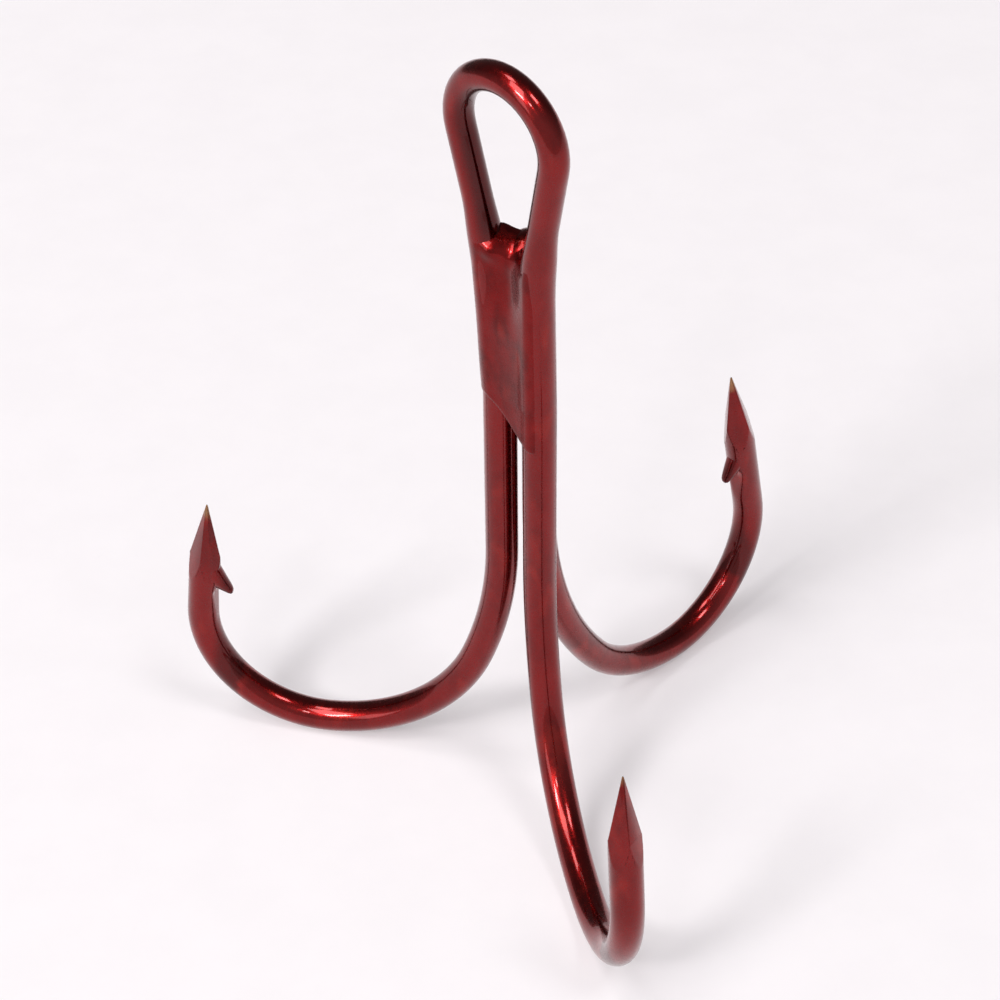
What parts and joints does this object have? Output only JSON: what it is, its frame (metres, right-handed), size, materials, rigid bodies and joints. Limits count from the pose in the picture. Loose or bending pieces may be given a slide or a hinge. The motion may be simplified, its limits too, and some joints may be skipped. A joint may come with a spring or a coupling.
{
  "type": "treble hook",
  "caption": "Treble fishing hook of brazed round wire with barbed, ground points and a teardrop eye, for hanging on a lure by a split ring or line.",
  "frame": {"origin": "centre of the eye, where the line or split ring pulls", "axes": "+Z from the bends up the shank to the eye; +Y is the way the single hook opens; the eye lies across X"},
  "size_m": [0.0194, 0.0171, 0.0262],
  "materials": {
    "lacquered_wire": "gloss",
    "lacquered_braze": "gloss"
  },
  "bodies": {
    "root": {"double_hook": "lacquered_wire", "single_hook": "lacquered_wire", "front_braze": "lacquered_braze", "left_braze": "lacquered_braze", "right_braze": "lacquered_braze", "throat_braze": "lacquered_braze"}
  },
  "joints": []
}
